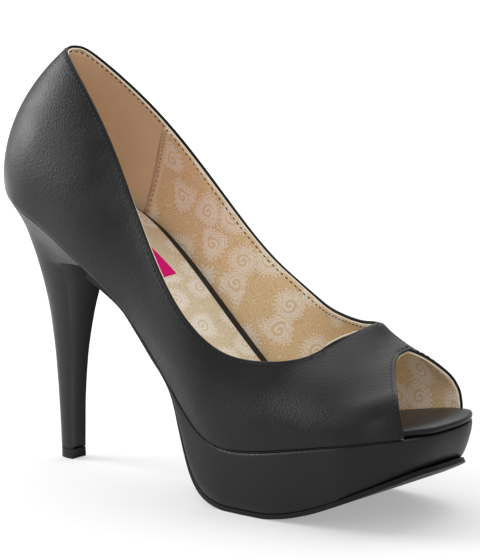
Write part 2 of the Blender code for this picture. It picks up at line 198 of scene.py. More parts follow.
# Easing takes small waves out of the wall. Over the ball and the vamp the wall is eased further
# above its lower half, so that it takes light in one clean sweep
EASING = (0.5, -0.52) * 40
VAMP_SPAN = (0.54, 0.62, 0.84, 0.94)
VAMP_PASSES = 90
VAMP_HELD = 0.5
TOUCHING = 1e-6


def wall_share(v, roundness, power):
    """How far in the wall leans at height v, as a share of its whole lean at the top line."""
    full = 1 - (1 - roundness ** power) ** (1 / power)
    return (1 - np.maximum(0.0, 1 - (v * roundness) ** power) ** (1 / power)) / full


def column(foot, top, roundness, power, belly, low, outward, heights):
    """Points of the wall above one another, from its foot to its top, with a belly outward."""
    share = wall_share(heights, roundness, power)
    points = foot + (top - foot) * np.stack((share, share, heights), axis=1)
    points[:, :2] += np.outer(belly * np.sin(np.pi * heights ** low), outward)
    return points


def wall_column(station, side, heights=HEIGHTS):
    """Points of the last's surface from the sole to the top line at one station."""
    x, y, nx, ny = outline(station, side)
    foot = np.array((x, y, feather_height(x) + GAP))
    row = [float(spline(TOP_LINE, k, station)) for k in range(1, 10)]
    reach = row[2] if side < 0 else row[3]
    rise = row[1] + (row[4] if side > 0 else 0.0)
    if station >= THROAT:
        reach = (row[2] + row[3]) / 2
        rise = row[1]
    top = np.array((row[0] * LENGTH, reach * HALF_BALL, rise * COLLAR_RISE))
    return column(foot, top, row[5], row[8], row[6] * BELLY, row[7], (nx, ny), heights)


def toe_column(share, side, heights=HEIGHTS):
    """Points between the last full column of the vamp and the edge of the peep hole."""
    edge_table = PEEP_EDGE[side]
    x, y, _, _ = outline(PEEP_FOOT[side], side)
    foot = np.array((x, y, feather_height(x) + GAP))
    edge = np.stack([curve(edge_table, k, heights) * size for k, size in (
        (1, LENGTH), (2, HALF_BALL), (3, COLLAR_RISE))], axis=1)
    edge += (foot - edge[0]) * (1 - heights[:, None]) ** 2
    first = wall_column(VAMP_END, side, heights)
    blend = first * (1 - share) + edge * share
    x, y, _, _ = outline(VAMP_END + (PEEP_FOOT[side] - VAMP_END) * share, side)
    foot = np.array((x, y, feather_height(x) + GAP))
    return blend + (foot - blend[0]) * (1 - heights[:, None])


def column_stations(side):
    """Stations of all columns of one side, from the middle of the back to the peep hole."""
    toe = VAMP_END + (PEEP_FOOT[side] - VAMP_END) * np.arange(1, TOE_STEPS + 1) / TOE_STEPS
    return np.concatenate((SIDE_STATIONS, toe))


def side_grid(side):
    """Columns of one side from the middle of the back to the peep hole, eased along the shoe."""
    columns = [wall_column(q, side) for q in SIDE_STATIONS]
    columns += [toe_column(k / TOE_STEPS, side) for k in range(1, TOE_STEPS + 1)]
    columns = np.array(columns)
    every = column_stations(side)
    gaps = np.diff(every)[:, None, None]
    part = gaps[:-1] / (gaps[:-1] + gaps[1:])
    for strength in EASING:
        between = columns[:-2, 1:-1] * (1 - part) + columns[2:, 1:-1] * part
        columns[1:-1, 1:-1] += strength * (between - columns[1:-1, 1:-1])
    spread = np.interp(every[1:-1], VAMP_SPAN, (0, 1, 1, 0))
    height = HEIGHTS[1:-1, None]
    spread = spread[:, None, None] * np.minimum(height / VAMP_HELD, 1) ** 2 * (1 - height ** 4)
    for _ in range(VAMP_PASSES):
        between = columns[:-2, 1:-1] * (1 - part) + columns[2:, 1:-1] * part
        columns[1:-1, 1:-1] += 0.5 * spread * (between - columns[1:-1, 1:-1])
    return columns


SIDES = {-1: side_grid(-1), 1: side_grid(1)}


def grid_normals(grid):
    """Outward normals of a grid, made equal where both sides meet along the ridge."""
    along = np.gradient(grid, axis=0)
    up = np.gradient(grid, axis=1)
    normal = np.cross(up, along)
    normal /= np.maximum(np.linalg.norm(normal, axis=2, keepdims=True), 1e-12)
    last = len(grid) - 1
    for c in range(len(grid) // 2):
        if np.linalg.norm(grid[c, -1] - grid[last - c, -1]) < TOUCHING:
            mean = normal[c, -1] + normal[last - c, -1]
            normal[c, -1] = normal[last - c, -1] = mean / np.linalg.norm(mean)
    return normal


def grid_faces(columns, rows):
    """Four-sided faces between the points of a grid, column by column."""
    return [(c * rows + r, c * rows + r + 1, (c + 1) * rows + r + 1, (c + 1) * rows + r)
            for c in range(columns - 1) for r in range(rows - 1)]


def weld(piece, distance=2e-5):
    """Join the points of both sides where they meet along the ridge."""
    work = bmesh.new()
    work.from_mesh(piece.data)
    bmesh.ops.remove_doubles(work, verts=work.verts, dist=distance)
    work.to_mesh(piece.data)
    work.free()


def linear(colour):
    """sRGB hex to linear values."""
    parts = [int(colour[k:k + 2], 16) / 255 for k in (1, 3, 5)]
    return (*[c / 12.92 if c <= 0.04045 else ((c + 0.055) / 1.055) ** 2.4 for c in parts], 1.0)


def node(tree, kind, settings=None, **links):
    """Add a shader node. Settings go by attribute or input name, links by input name."""
    made = tree.nodes.new(kind)
    for name, value in (settings or {}).items():
        if isinstance(name, str) and hasattr(made, name):
            setattr(made, name, value)
        else:
            made.inputs[name].default_value = value
    for name, source in links.items():
        key = name.replace("_", " ").strip()
        key = int(key[2:]) if key.startswith("at") else key
        tree.links.new(source, made.inputs[key])
    return made


def new_material(name, base, roughness, **extra):
    """Principled material whose plain values sit on the shader's own sockets."""
    made = bpy.data.materials.new(name)
    made.use_nodes = True
    shader = made.node_tree.nodes["Principled BSDF"]
    shader.inputs["Base Color"].default_value = linear(base)
    shader.inputs["Roughness"].default_value = roughness
    for key, value in extra.items():
        shader.inputs[key.replace("_", " ")].default_value = value
    return made, made.node_tree, shader


def add_piece(name, points, faces, material, subdivide=0, thickness=0.0):
    """Mesh piece in the shoe's frame, with optional thickness inward and subdivision."""
    mesh = bpy.data.meshes.new(name)
    mesh.from_pydata([tuple(np.array(p) - ORIGIN) for p in points], [], faces)
    mesh.materials.append(material)
    mesh.shade_smooth()
    piece = bpy.data.objects.new(name, mesh)
    bpy.context.scene.collection.objects.link(piece)
    if thickness:
        wall = piece.modifiers.new("wall", "SOLIDIFY")
        wall.thickness = thickness
        wall.offset = -1.0
    if subdivide:
        smooth = piece.modifiers.new("round", "SUBSURF")
        smooth.levels = subdivide
        smooth.render_levels = subdivide
    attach(piece, "root")
    return piece


def emboss(tree, shader, height, strength, distance=0.0002):
    """Fine relief that breaks up the light."""
    relief = node(tree, "ShaderNodeBump", {"Strength": strength, "Distance": distance},
                  Height=height)
    tree.links.new(relief.outputs[0], shader.inputs["Normal"])


def two_tone(tree, shader, share, first, second):
    """Colour that goes from a first tone to a second."""
    tone = node(tree, "ShaderNodeMix", {"data_type": "RGBA"}, at0=share)
    tone.inputs[6].default_value = first
    tone.inputs[7].default_value = second
    tree.links.new(tone.outputs[2], shader.inputs["Base Color"])


def faux_leather(name, base, low, high, grain_mm, bump, gloss_level=0.20):
    """Coated fabric embossed with a fine grain: even colour, soft sheen, faint clouds of gloss."""
    made, tree, shader = new_material(name, base, 0.45, Specular_IOR_Level=gloss_level, IOR=1.46)
    place = node(tree, "ShaderNodeTexCoord").outputs["Object"]
    pebble = node(tree, "ShaderNodeTexVoronoi", {"Scale": 1000 / grain_mm, "Randomness": 1.0},
                  Vector=place)
    fine = node(tree, "ShaderNodeTexNoise", {"Scale": 2600.0, "Detail": 3.0}, Vector=place)
    mix = node(tree, "ShaderNodeMath", {"operation": "MULTIPLY_ADD", 1: 0.5},
               at0=fine.outputs["Fac"], at2=pebble.outputs["Distance"])
    emboss(tree, shader, mix.outputs[0], bump)
    cloudy = node(tree, "ShaderNodeTexNoise", {"Scale": 45.0, "Detail": 4.0}, Vector=place)
    gloss = node(tree, "ShaderNodeMapRange", {"From Min": 0.35, "From Max": 0.65, "To Min": low,
                                              "To Max": high}, Value=cloudy.outputs["Fac"])
    tree.links.new(gloss.outputs[0], shader.inputs["Roughness"])
    lighter = tuple(c * 1.25 for c in linear(base)[:3]) + (1.0,)
    two_tone(tree, shader, cloudy.outputs["Fac"], linear(base), lighter)
    return made


# Smooth black faux leather: near black, satin, with broad soft reflections broken by a fine grain
UPPER_LEATHER = faux_leather("black_pu_leather_upper", "#19191a", 0.30, 0.48, 0.9, 0.40)
shell_grid = np.concatenate((SIDES[-1][::-1], SIDES[1][1:]))
shell_out = grid_normals(shell_grid)
shell_faces = grid_faces(*shell_grid.shape[:2])
shell = add_piece("upper_shell", shell_grid.reshape(-1, 3), shell_faces, UPPER_LEATHER, subdivide=1,
                  thickness=SHELL_WALL)
weld(shell)
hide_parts("upper")

# Lining: thin sheets glued inside the shell. A plain tan counter piece stands round the heel, and a
# printed gold-beige sheet runs from its seam to the toe, under the vamp.
LINING_WALL = 0.0004
GLUE_LINE = 0.0001
SEAM_LOW = 0.190
SEAM_HIGH = 0.238
COUNTER_LAP = 0.012
LINING_SHORT = 0.003
LINING_ROWS = 30
# The lining ends this far below the folded edge of a wall of usual height, less and less near the
# throat, and goes right up to the ridge under the vamp
LINING_DROP = 0.0012
WALL_HIGH = 0.055
THROAT_FADE = 0.03


def points_at(where, marks, line):
    """Points of a line at any place between the marks that its own points stand at."""
    return np.stack([np.interp(where, marks, line[:, k]) for k in range(3)], axis=1)


def surface_line(station, side, heights):
    """Points of the upper's surface at any station, sampled from its grid."""
    every = column_stations(side)
    at = np.interp(station, every, np.arange(len(every)))
    low = min(int(at), len(every) - 2)
    line = SIDES[side][low] * (1 - at + low) + SIDES[side][low + 1] * (at - low)
    return points_at(heights, HEIGHTS, line)


def inward(grids, depth):
    """Move grids in from the surface, keeping both sides together along the ridge."""
    normals = [np.cross(np.gradient(g, axis=1), np.gradient(g, axis=0)) * flip for g, flip in grids]
    normals = [n / np.maximum(np.linalg.norm(n, axis=2, keepdims=True), 1e-12) for n in normals]
    if len(grids) == 2:
        for c in range(len(grids[0][0])):
            if np.linalg.norm(grids[0][0][c, -1] - grids[1][0][c, -1]) < TOUCHING:
                mean = normals[0][c, -1] + normals[1][c, -1]
                normals[0][c, -1] = normals[1][c, -1] = mean / np.linalg.norm(mean)
    return [grid - normal * depth for (grid, _), normal in zip(grids, normals)]


def lining_heights(station):
    """Heights of a lining column, which stops short of the folded edge except under the vamp."""
    short = LINING_DROP / WALL_HIGH * min(max((THROAT - station) / THROAT_FADE, 0.0), 1.0)
    return np.linspace(0, 1 - short, LINING_ROWS)


def sheet_faces(columns, rows, flip):
    """Faces of a sheet, turned over where its columns run the other way."""
    faces = grid_faces(columns, rows)
    return [f[::-1] for f in faces] if flip else faces


def scroll_print(tree, point, cell_mm, width):
    """Traditional scroll and drop ornament: curled lines in cells of one motif each."""
    scaled = node(tree, "ShaderNodeVectorMath", {"operation": "SCALE", "Scale": 1000 / cell_mm},
                  at0=point)
    cells = node(tree, "ShaderNodeTexVoronoi", {"voronoi_dimensions": "2D", "Scale": 1.0,
                                                "Randomness": 0.55}, Vector=scaled.outputs[0])
    away = node(tree, "ShaderNodeVectorMath", {"operation": "SUBTRACT"}, at0=scaled.outputs[0],
                at1=cells.outputs["Position"])
    pick = node(tree, "ShaderNodeSeparateColor", at0=cells.outputs["Color"])
    angle = node(tree, "ShaderNodeMath", {"operation": "MULTIPLY", 1: 6.28}, at0=pick.outputs[0])
    turned = node(tree, "ShaderNodeVectorRotate", {"rotation_type": "Z_AXIS"},
                  Vector=away.outputs[0], Angle=angle.outputs[0])
    axes = node(tree, "ShaderNodeSeparateXYZ", at0=turned.outputs[0])

    def calc(kind, first, second=None, third=None):
        """One step of arithmetic on plain numbers and node outputs."""
        made = node(tree, "ShaderNodeMath", {"operation": kind})
        for slot, value in enumerate((first, second, third)):
            if value is None:
                continue
            if isinstance(value, (int, float)):
                made.inputs[slot].default_value = value
            else:
                tree.links.new(value, made.inputs[slot])
        return made.outputs[0]

    def stroke(distance, half):
        """Soft printed line where a distance is small."""
        return node(tree, "ShaderNodeMapRange", {
            "interpolation_type": "SMOOTHSTEP", "From Max": half, "To Min": 1.0, "To Max": 0.0},
            Value=calc("ABSOLUTE", distance)).outputs[0]

    def ring(shape, at, half):
        """Closed line at one distance from the middle of a cell."""
        return stroke(calc("SUBTRACT", shape, at), width * half)

    def times(first, second):
        return calc("MULTIPLY", first, second)

    x = axes.outputs[0]
    lean = pick.outputs[1]
    bend = times(times(x, x), times(lean, 2.0))
    y = times(calc("ADD", axes.outputs[1], bend), calc("MULTIPLY_ADD", x, lean, 1.15))
    radius = calc("SQRT", calc("ADD", times(x, x), times(y, y)))
    turn = calc("ARCTAN2", y, x)
    scalloped = calc("MULTIPLY_ADD", calc("ABSOLUTE", calc("SINE", times(turn, 5.0))), 0.045, radius)
    beads = calc("GREATER_THAN", calc("SINE", times(turn, 26.0)), 0.0)
    spiral = calc("FRACT", calc("MULTIPLY_ADD", turn, 0.1592, times(radius, 7.0)))
    curl = times(stroke(calc("SUBTRACT", spiral, 0.5), 0.46), calc("LESS_THAN", radius, 0.20))
    lines = [curl, ring(radius, 0.235, 0.26), ring(scalloped, 0.335, 0.30),
             ring(scalloped, 0.405, 0.22), times(beads, ring(radius, 0.28, 0.22)),
             times(beads, ring(scalloped, 0.47, 0.28))]
    wander = node(tree, "ShaderNodeTexNoise", {
        "noise_dimensions": "2D", "Scale": 2.6, "Detail": 0.0}, Vector=scaled.outputs[0])
    bands = calc("FRACT", times(wander.outputs["Fac"], 8.0))
    lines.append(times(ring(bands, 0.5, 2.2), times(calc("GREATER_THAN", scalloped, 0.50), 0.4)))
    total = lines[0]
    for line in lines[1:]:
        total = calc("MAXIMUM", total, line)
    filled = node(tree, "ShaderNodeMapRange", {"From Min": 0.34, "From Max": 0.44, "To Min": 0.22,
                                               "To Max": 0.0}, Value=scalloped)
    return calc("MAXIMUM", times(total, 0.95), filled.outputs[0])


def printed_lining(name, base, line, cell_mm, slope, width=0.16):
    """Thin printed synthetic lining: cream scrolls on a beige ground, with a faint weave."""
    made, tree, shader = new_material(name, base, 0.62, Specular_IOR_Level=0.35)
    place = node(tree, "ShaderNodeTexCoord").outputs["Object"]
    axes = node(tree, "ShaderNodeSeparateXYZ", at0=place)
    if slope:
        down = node(tree, "ShaderNodeMath", {"operation": "MULTIPLY_ADD", 1: -slope},
                    at0=axes.outputs[2], at2=axes.outputs[0])
        flat = node(tree, "ShaderNodeCombineXYZ", X=down.outputs[0], Y=axes.outputs[1])
    else:
        flat = node(tree, "ShaderNodeCombineXYZ", X=axes.outputs[0], Y=axes.outputs[2])
    factor = scroll_print(tree, flat.outputs[0], cell_mm, width)
    worn = node(tree, "ShaderNodeTexNoise", {"Scale": 900.0, "Detail": 2.0}, Vector=place)
    soft = node(tree, "ShaderNodeMath", {"operation": "MULTIPLY"}, at0=factor,
                at1=node(tree, "ShaderNodeMapRange", {"From Min": 0.2, "From Max": 0.48},
                         Value=worn.outputs["Fac"]).outputs[0])
    two_tone(tree, shader, soft.outputs[0], linear(base), linear(line))
    weave = node(tree, "ShaderNodeTexNoise", {"Scale": 1800.0, "Detail": 2.0}, Vector=place)
    emboss(tree, shader, weave.outputs["Fac"], 0.2)
    return made


# Tan suedette: a short nap with no shine, slightly uneven in tone
COUNTER_LINING, tan_tree, tan_shader = new_material("tan_suedette_counter_lining", "#dec3a0", 0.85,
                                                    Specular_IOR_Level=0.2, Sheen_Weight=0.15)
nap_place = node(tan_tree, "ShaderNodeTexCoord").outputs["Object"]
nap = node(tan_tree, "ShaderNodeTexNoise", {"Scale": 1400.0, "Detail": 4.0}, Vector=nap_place)
two_tone(tan_tree, tan_shader, nap.outputs["Fac"], linear("#d4b48e"), linear("#ead2b2"))
emboss(tan_tree, tan_shader, nap.outputs["Fac"], 0.3)
# Printed synthetic lining: gold-beige, faintly shiny, with cream scrolls of about 18 mm
PRINTED_LINING = printed_lining("gold_beige_printed_lining", "#dcbd8e", "#f3eee6", 18.0, 0.0)

counter = []
for s in np.linspace(-1, 1, 61):
    side = -1 if s < 0 else 1
    rows = []
    for v in lining_heights(SEAM_HIGH):
        station = abs(s) * (SEAM_LOW + (SEAM_HIGH - SEAM_LOW) * v + COUNTER_LAP)
        rows.append(surface_line(station, side, np.array((0.0, v)))[1])
    counter.append(rows)
counter = np.array(counter)
counter_in = inward([(counter, 1)], SHELL_WALL + GLUE_LINE)[0]
counter_sheet = add_piece("counter_lining", counter_in.reshape(-1, 3),
                          grid_faces(*counter.shape[:2]), COUNTER_LINING, thickness=LINING_WALL)
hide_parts("upper")

# The printed sheet laps on the counter piece, so it lies one sheet further in. Its columns stand
# closer together toward the toe
FINE_FROM = 0.72
front_sides = []
for side in (-1, 1):
    end = PEEP_FOOT[side] - LINING_SHORT
    line = []
    for s in np.concatenate((np.linspace(0, FINE_FROM, 50), np.linspace(FINE_FROM, 1, 30)[1:])):
        rows = []
        for v in np.linspace(0, 1, LINING_ROWS):
            first = SEAM_LOW + (SEAM_HIGH - SEAM_LOW) * v
            station = first + (end - first) * s
            v_top = lining_heights(station)[-1]
            rows.append(surface_line(station, side, np.array((0.0, v * v_top)))[1])
        line.append(rows)
    front_sides.append(np.array(line))
lining_depth = SHELL_WALL + GLUE_LINE + LINING_WALL * 1.05
front_in = inward([(front_sides[0], -1), (front_sides[1], 1)], lining_depth)
for name, grid, flip in (("front_lining_outer", front_in[0], True),
                         ("front_lining_inner", front_in[1], False)):
    sheet = add_piece(name, grid.reshape(-1, 3), sheet_faces(*grid.shape[:2], flip), PRINTED_LINING,
                      thickness=LINING_WALL)
    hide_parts("upper")

# Edges and stitching: the lining's raw cream edge shows just inside the folded top line and the
# peep hole, and a row of black thread runs 2 mm from each edge. Thread is about 0.4 mm thick.
EDGE_RADIUS = 0.00035
STITCH_PITCH = 0.0027
# Raw edge of the lining: a light, dull line that sets the dark fold off
CREAM_EDGE = new_material("cream_lining_edge", "#e8dcc6", 0.7)[0]
# Black polyester thread: barely lighter than the leather, seen by its small shadows
BLACK_THREAD = new_material("black_polyester_thread", "#141415", 0.55, Specular_IOR_Level=0.3)[0]
shell_last = len(shell_grid) - 1
throat_index = TOE_STEPS + int(np.sum(SIDE_STATIONS > THROAT + 1e-6))
collar_range = range(throat_index, shell_last - throat_index + 1)
collar_edge = np.array([shell_grid[c, -1] for c in collar_range])
collar_out = np.array([shell_out[c, -1] for c in collar_range])
peep_edge = np.concatenate((shell_grid[0], shell_grid[-1][::-1][1:]))
peep_out = np.concatenate((shell_out[0], shell_out[-1][::-1][1:]))


def beside_edge(edge, out, across, depth):
    """Line that runs at a set distance from an edge, on or under the surface."""
    along = np.gradient(edge, axis=0)
    along /= np.linalg.norm(along, axis=1, keepdims=True)
    away = np.cross(out, along)
    away /= np.linalg.norm(away, axis=1, keepdims=True)
    return edge + away * across + out * depth


def walk(line, step):
    """Points at equal steps along a line, with the direction there."""
    cut = np.concatenate(((0,), np.cumsum(np.linalg.norm(np.diff(line, axis=0), axis=1))))
    where = np.arange(step / 2, cut[-1], step)
    ahead = points_at(where + step / 4, cut, line)
    behind = points_at(where - step / 4, cut, line)
    return points_at(where, cut, line), ahead - behind


def ring_round(centre, along, radius, sides):
    """Ring of points round a centre, square to the direction along."""
    along = along / np.linalg.norm(along)
    a = np.cross(along, (0.0, 0.3, 1.0))
    a /= np.linalg.norm(a)
    b = np.cross(along, a)
    turns = np.linspace(0, 2 * math.pi, sides, endpoint=False)
    return [centre + radius * (a * math.cos(t) + b * math.sin(t)) for t in turns]


def tube(name, line, radius, material, sides=8):
    """Round cord along a line, closed at both ends."""
    points = []
    for place, along in zip(line, np.gradient(line, axis=0)):
        points += ring_round(place, along, radius, sides)
    faces = [(r * sides + i, r * sides + (i + 1) % sides, (r + 1) * sides + (i + 1) % sides,
              (r + 1) * sides + i) for r in range(len(line) - 1) for i in range(sides)]
    faces += [tuple(range(sides))[::-1], tuple(range((len(line) - 1) * sides, len(line) * sides))]
    return add_piece(name, points, faces, material)


def stitches(name, line, length, pitch, radius, material, sides=6):
    """Row of sewn stitches: short rounded lengths of thread."""
    profile = ((-1.0, 0.25), (-0.75, 0.85), (0.0, 1.0), (0.75, 0.85), (1.0, 0.25))
    last = (len(profile) - 1) * sides
    points = []
    faces = []
    for place, along in zip(*walk(line, pitch)):
        base = len(points)
        unit = along / np.linalg.norm(along)
        for share, wide in profile:
            points += ring_round(place + unit * share * length / 2, along, radius * wide, sides)
        for ring in range(base, base + last, sides):
            for i in range(sides):
                j = (i + 1) % sides
                faces.append((ring + i, ring + j, ring + sides + j, ring + sides + i))
        faces.append(tuple(range(base + sides - 1, base - 1, -1)))
        faces.append(tuple(range(base + last, base + last + sides)))
    return add_piece(name, points, faces, material)


# Distances in from the edge and out from the surface
for name, edge, out, across, depth in (
        ("collar_lining_edge", collar_edge, collar_out, 0.0010, -0.0017),
        ("peep_lining_edge", peep_edge, peep_out, 0.0008, -0.0016)):
    piece = tube(name, beside_edge(edge, out, across, depth), EDGE_RADIUS, CREAM_EDGE)
    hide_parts("upper")
# The same distances, then the length of a stitch and the radius of its thread
for name, edge, out, across, depth, length, radius in (
        ("collar_stitches_outside", collar_edge, collar_out, 0.0021, 0.00005, 0.0019, 0.00022),
        ("collar_stitches_inside", collar_edge, collar_out, 0.0026, -0.0021, 0.0015, 0.00026),
        ("peep_stitches_outside", peep_edge, peep_out, 0.0020, 0.00005, 0.0019, 0.00022)):
    line = beside_edge(edge, out, across, depth)
    piece = stitches(name, line, length, STITCH_PITCH, radius, BLACK_THREAD)
    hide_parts("upper")

# Seam strip: a narrow band of the counter's suedette covers the joint of the two linings on each
# side, sewn down through both with brown thread.
SEAM_SHIFT = 0.004
STRIP_WIDE = 0.0135
STRIP_CLEAR = 0.0002
STRIP_THICK = 0.0003
STRIP_ENDS = (0.03, 0.955)
NEXT_STATION = 0.002
NEXT_HEIGHT = 0.01
# Place of the stitches between two points across the strip, then their length, pitch and radius
SEAM_PLACE = 0.3
SEAM_STITCH = (0.0014, 0.0024, 0.00026)
# Brown polyester thread: a soft dotted line with a slight sheen
BROWN_THREAD = new_material("brown_polyester_thread", "#6d5238", 0.5, Sheen_Weight=0.2)[0]
strip_depth = lining_depth + LINING_WALL + STRIP_CLEAR
for side, name in ((-1, "outer"), (1, "inner")):
    seam = []
    strip = []
    for v in np.linspace(*STRIP_ENDS, 44):
        station = SEAM_LOW + (SEAM_HIGH - SEAM_LOW) * v + SEAM_SHIFT
        row = []
        for across in np.linspace(0, 1, 4):
            at = station + STRIP_WIDE * across
            near = surface_line(at, side, np.array((0.0, v)))[1]
            ahead = surface_line(at + NEXT_STATION, side, np.array((0.0, v)))[1]
            higher = surface_line(at, side, np.array((0.0, v + NEXT_HEIGHT)))[1]
            out = np.cross(higher - near, ahead - near) * side
            row.append(near - out / np.linalg.norm(out) * strip_depth)
        strip.append(row)
        seam.append(row[1] + (row[2] - row[1]) * SEAM_PLACE)
    strip = np.array(strip)
    strip_faces = sheet_faces(*strip.shape[:2], side > 0)
    band = add_piece("seam_strip_" + name, strip.reshape(-1, 3), strip_faces, COUNTER_LINING,
                     thickness=-STRIP_THICK)
    row = stitches("seam_stitches_" + name, np.array(seam), *SEAM_STITCH, BROWN_THREAD)
    for piece in (band, row):
        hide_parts("upper")

# Insole: a stiff board in the shape of the footbed, covered in black faux leather over thin foam,
# with a soft rounded edge that shows at the front in the peep hole.
UPPER_WALL = 0.0016
INSOLE_CLEAR = 0.0008
INSOLE_THICK = 0.0030
INSOLE_ROUND = 0.0014
INSOLE_OPENING = 0.030
FOOT_CLEAR = 0.004
ARCH_CLOSE = 0.0005
ARCH_SHARP = 0.6


def skin(name, rings, material, extra=0, sharp=40.0):
    """Close a row of rings into one solid, its ends closed by pairing each ring's two sides."""
    count = len(rings[0])
    sides = count - extra
    faces = []
    for a in range(0, (len(rings) - 1) * count, count):
        for i in range(count):
            j = (i + 1) % count
            faces.append((a + i, a + j, a + count + j, a + count + i))
    for base in (0, (len(rings) - 1) * count):
        faces.append([base + k for k in (*range(sides - 2, count), 0, 1)])
        for i in range(1, (sides - 1) // 2):
            far = sides - 1 - i
            pair = (i, i + 1, far - 1, far) if i + 1 < far - 1 else (i, i + 1, far)
            faces.append([base + k for k in pair])
    piece = add_piece(name, [p for ring in rings for p in ring], faces, material)
    work = bmesh.new()
    work.from_mesh(piece.data)
    bmesh.ops.recalc_face_normals(work, faces=work.faces)
    work.to_mesh(piece.data)
    work.free()
    piece.data.set_sharp_from_angle(angle=math.radians(sharp))
    return piece


def flat_ring(stations, inset, height):
    """Closed outline, outer side from heel to toe and inner side back."""
    ring = []
    for side, order in ((-1, stations), (1, stations[::-1])):
        for q in order:
            x, y, _, _ = outline(q, side, inset(q, side))
            ring.append((x, y, height(x)))
    return ring


def half_width(x, side, inset):
    """Sideways reach of the outline at a given x."""
    width = side * (HALF_BALL * float(spline(LAST, 2 if side < 0 else 3, x / LENGTH)) - inset)
    if x <= TOE_START:
        return width
    return width * max(1 - ((x - TOE_START) / (TOE_ROUND - inset)) ** 2, 0.0) ** (TOE_POWER / 2)


def above(level):
    """Height at a set level above the feather line."""
    return lambda x: feather_height(x) + level


# The footbed rises under the arch. Columns: x as a share of LENGTH, part of the whole rise
ARCH_RISE = 0.0030
ARCH = np.array(((0.0, 0.0), (0.10, 0.0), (0.27, 1.0), (0.45, 1.0), (0.66, 0.0), (1.0, 0.0)))


def arched(ring):
    """Raise the inner side of a ring, as the footbed does under the arch."""
    raised = []
    for x, y, z in ring:
        share = float(curve(ARCH, 1, x / LENGTH))
        if share > 0:
            outer, inner = (half_width(x, side, 0.0) for side in (-1, 1))
            z += ARCH_RISE * share * (y - outer) / (inner - outer)
        raised.append((x, y, z))
    return raised


def insole_inset(extra):
    """Gap between wall and insole, which closes toward the open front of the peep hole."""
    def inset(q, side):
        free = min(max((q - PEEP_FOOT[side] - FOOT_CLEAR) / INSOLE_OPENING, 0.0), 1.0)
        close = ARCH_CLOSE * float(curve(ARCH, 1, q)) if side > 0 else 0.0
        rounded = extra * (1 - ARCH_SHARP * float(curve(ARCH, 1, q)))
        return (UPPER_WALL + INSOLE_CLEAR) * (1 - free * free * (3 - 2 * free)) - close + rounded
    return inset


heel_stations = np.linspace(0.06, 1.0, 20) * HEEL_ROUND / LENGTH
toe_stations = 1 - TOE_ROUND / LENGTH * (1 - np.linspace(0.06, 0.99, 26))
middle_stations = np.linspace(HEEL_ROUND, TOE_START, 60)[1:] / LENGTH
WHOLE_FOOT = np.concatenate((heel_stations, middle_stations, toe_stations))
# Thin black faux leather over foam: as dark as the upper, a little less gloss, soft edge
INSOLE_LEATHER = faux_leather("black_pu_leather_insole", "#1a1a1c", 0.32, 0.42, 0.9, 0.2, 0.18)
insole_high = GAP + INSOLE_THICK
insole_rings = []
for turn in np.linspace(-1, 1, 11):
    rounding = INSOLE_ROUND * (1 - math.sqrt(max(1 - turn * turn, 0.0)))
    level = GAP + INSOLE_THICK * (turn + 1) / 2
    insole_rings.append(arched(flat_ring(WHOLE_FOOT, insole_inset(rounding), above(level))))
insole = skin("insole_covered", insole_rings, INSOLE_LEATHER, sharp=60)
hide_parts("insole")

# Lasting margin: the lower edge of the upper's faux leather, turned in and glued flat under the
# insole all round. It fills the line between the wall and the sole, so no light comes through.
MARGIN_START = 0.0007
MARGIN_WIDE = 0.010
MARGIN_THICK = 0.00054
margin = []
for side in (1, -1):
    stations = WHOLE_FOOT[WHOLE_FOOT < PEEP_FOOT[side] - FOOT_CLEAR]
    for q in stations[::-1] if side > 0 else stations:
        for inset in (MARGIN_START, MARGIN_WIDE):
            x, y, _, _ = outline(q, side, inset)
            margin.append((x, y, feather_height(x) + MARGIN_THICK / 2))
margin_faces = [(k, k + 2, k + 3, k + 1) for k in range(0, len(margin) - 2, 2)]
lasted = add_piece("lasting_margin", margin, margin_faces, UPPER_LEATHER, thickness=MARGIN_THICK)
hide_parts("upper")

# Sock lining: cream synthetic sheet printed with the same kind of scrolls, cut narrower than the
# insole and glued on it from the heel to under the vamp.
SOCK_THICK = 0.0005
SOCK_GLUE = 0.0001
SOCK_MARGIN = 0.0028
SOCK_END = 0.735
SOCK_NARROW = 0.0016
SOCK_FORWARD = 0.85
HEEL_MARGIN = 0.3
# Printed cream synthetic: lighter ground than the front lining, the scrolls laid down the slope
SOCK_PRINT = printed_lining("cream_printed_sock", "#d8c7a6", "#f6f2ec", 18.0, 0.75)


def sock_inset(q, side):
    """Black margin of insole left beside the sock, wider at the arch."""
    wide = SOCK_NARROW * float(curve(ARCH, 1, min(q * SOCK_FORWARD, 1.0))) if side > 0 else 0.0
    return UPPER_WALL + INSOLE_CLEAR + SOCK_MARGIN * min(HEEL_MARGIN + q / SOCK_END, 1.0) + wide


sock_foot = np.concatenate((heel_stations, np.linspace(HEEL_ROUND / LENGTH, SOCK_END, 50)[1:]))
sock = skin("sock_sheet", [arched(flat_ring(sock_foot, sock_inset, above(insole_high + level)))
                           for level in (SOCK_GLUE, SOCK_GLUE + SOCK_THICK)], SOCK_PRINT)
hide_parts("sock_lining")

# Patch: plain pink label of woven ribbon, thin and flat, its ends cut straight. It is stuck along
# the middle of the sock at the heel.
PATCH_START = 0.165
PATCH_END = 0.346
PATCH_SIDES = (-0.0180, 0.0092)
PATCH_THICK = 0.0003
PATCH_GLUE = 0.0001
